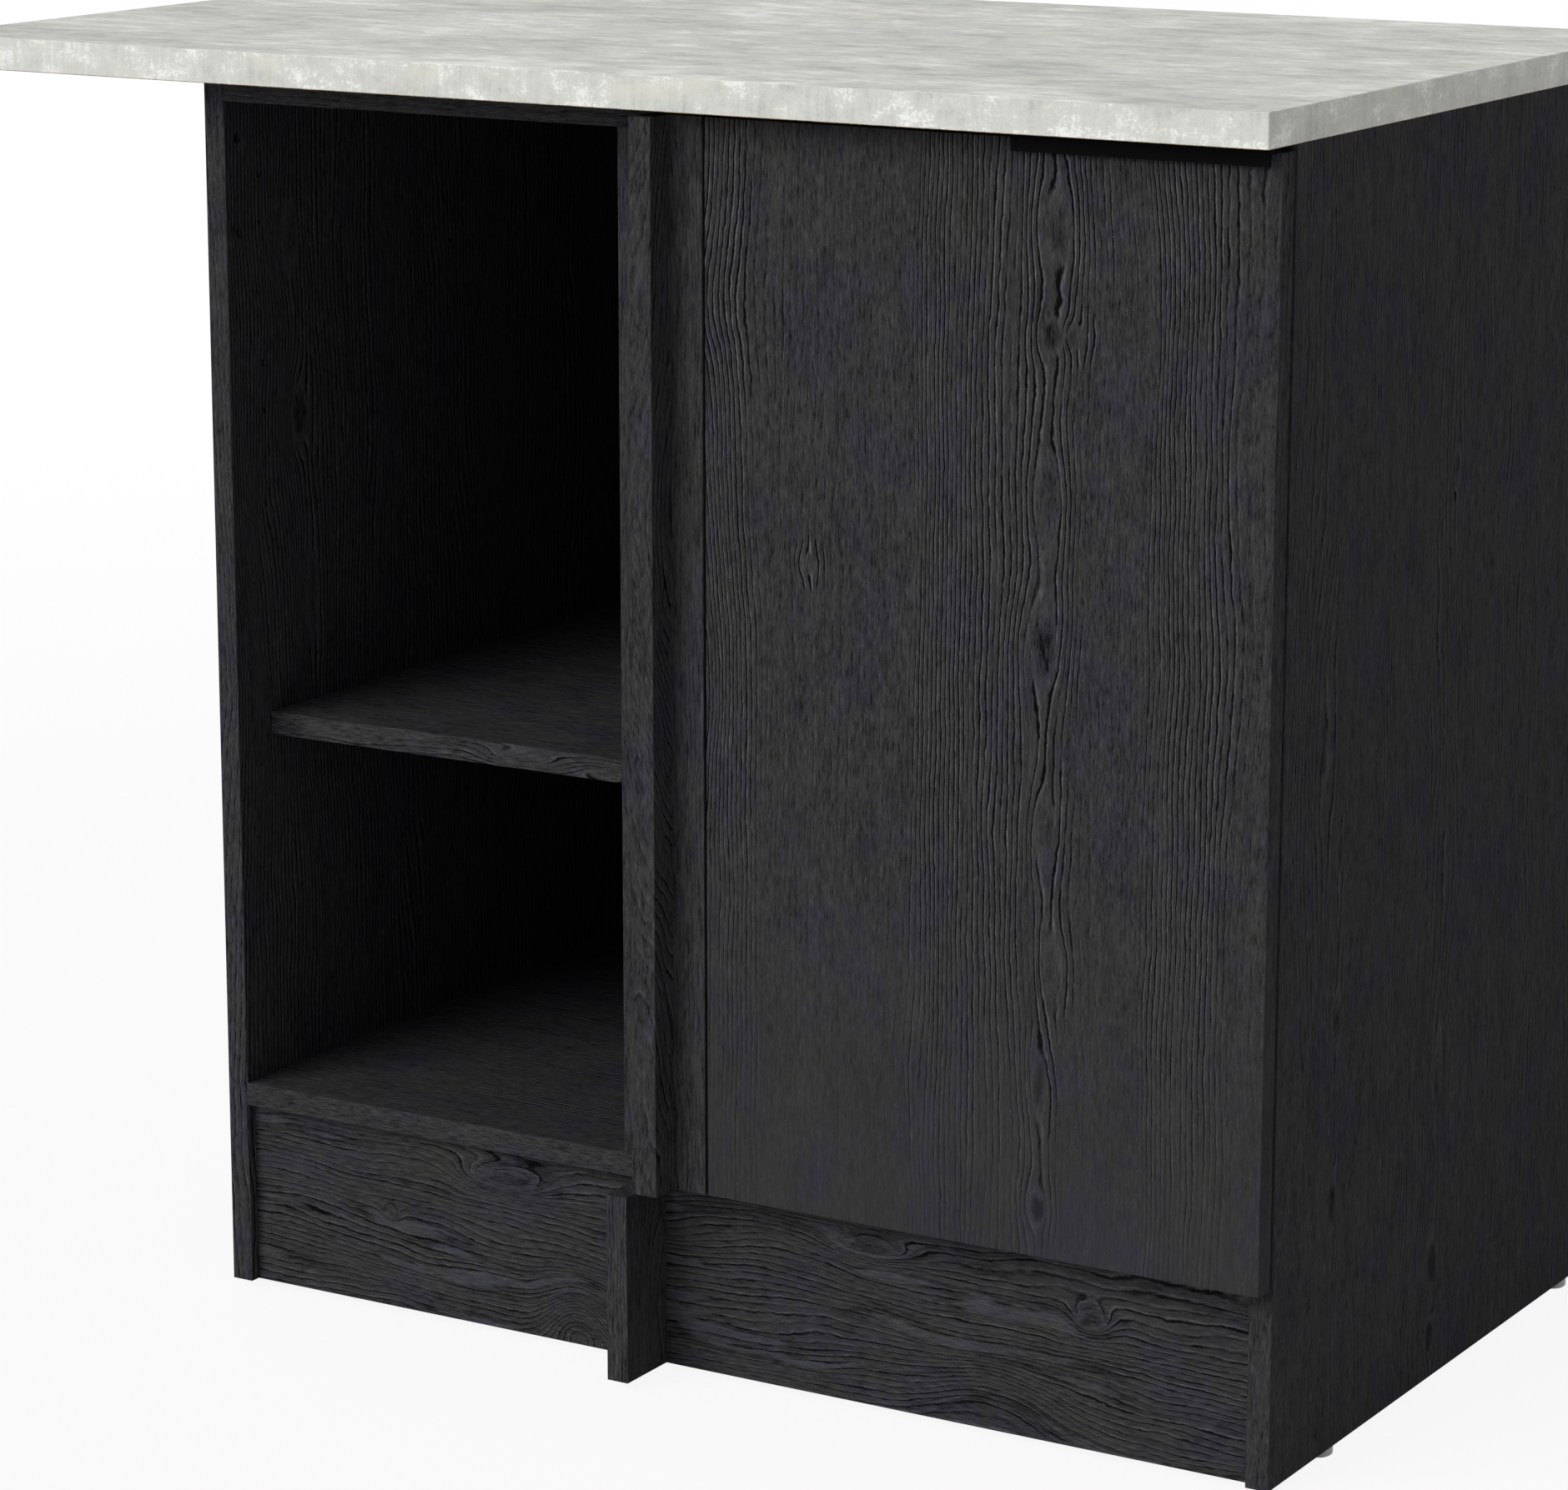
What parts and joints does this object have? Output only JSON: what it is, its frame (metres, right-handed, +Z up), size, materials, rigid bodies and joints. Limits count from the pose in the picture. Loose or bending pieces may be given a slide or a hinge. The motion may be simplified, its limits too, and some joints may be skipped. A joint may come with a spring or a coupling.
{
  "type": "corner base cabinet",
  "caption": "Blind-corner kitchen base cabinet with an open bay, a corner post, a hinged door with an edge pull, a shelf, plinth boards on glides and a worktop.",
  "frame": {"origin": "on the floor, under the middle of the worktop", "axes": "+X runs to the right along the front, +Y into the cabinet from the door side, +Z up"},
  "size_m": [1, 0.6, 0.866],
  "materials": {
    "charcoal_board": "charcoal-black embossed wood decor on particle board, satin",
    "back_board": "thin hardboard, charcoal decor inside and plain outside",
    "block_wood": "plain softwood",
    "beech": "plain fluted beech",
    "concrete_laminate": "light concrete-look laminate, matt",
    "black_metal": "matt black powder coat",
    "black_screw": "black screw heads",
    "hinge_nickel": "nickel-plated steel, satin",
    "zinc_steel": "bright zinc plating",
    "cam_zinc": "die-cast zinc",
    "strip_plastic": "black extruded plastic",
    "glide_plastic": "light grey moulded plastic",
    "bumper_plastic": "clear grey soft plastic"
  },
  "bodies": {
    "carcass": {"side_panel_left": "charcoal_board", "side_panel_right": "charcoal_board", "bottom_panel": "charcoal_board", "top_rail_front": "charcoal_board", "top_rail_rear": "charcoal_board", "shelf": "charcoal_board", "centre_stile": "charcoal_board", "filler_front": "charcoal_board", "filler_return": "charcoal_board", "filler_cleat": "charcoal_board", "centre_foot": "charcoal_board", "plinth_left": "charcoal_board", "plinth_right": "charcoal_board", "plinth_blocks": "block_wood", "back_panel_left": "back_board", "back_panel_right": "back_board", "back_joining_strip": "strip_plastic", "worktop": "concrete_laminate", "hinge_arms": "hinge_nickel", "hinge_plates": "hinge_nickel", "hinge_arm_pins": "hinge_nickel", "hinge_plate_screws": "zinc_steel", "hinge_arm_screws": "zinc_steel", "filler_screws": "zinc_steel", "plinth_block_screws": "zinc_steel", "worktop_screws": "zinc_steel", "cam_bolts": "zinc_steel", "cam_locks": "cam_zinc", "back_pins": "zinc_steel", "shelf_pins": "zinc_steel", "carcass_dowels": "beech", "post_dowels": "beech", "glides": "glide_plastic"},
    "hinge_link": {"hinge_links": "hinge_nickel"},
    "door_leaf": {"door": "charcoal_board", "door_bumpers": "bumper_plastic", "edge_pull": "black_metal", "edge_pull_screws": "black_screw", "hinge_cups": "hinge_nickel", "hinge_cup_screws": "zinc_steel", "hinge_cup_pins": "hinge_nickel"}
  },
  "joints": [
    {"name": "hinge_link_swing", "type": "hinge", "parent": "carcass", "child": "hinge_link", "pos_m": [0.1325, -0.2592, 0.489], "axis": [0, 0, 1], "range_deg": [0, 60]},
    {"name": "door_swing", "type": "hinge", "parent": "hinge_link", "child": "door_leaf", "pos_m": [0.1135, -0.266, 0.489], "axis": [0, 0, -1], "range_deg": [0, 155]}
  ],
  "couplings": [
    {"joint": "hinge_link_swing", "follows": "door_swing", "ratio": 0.3871}
  ]
}
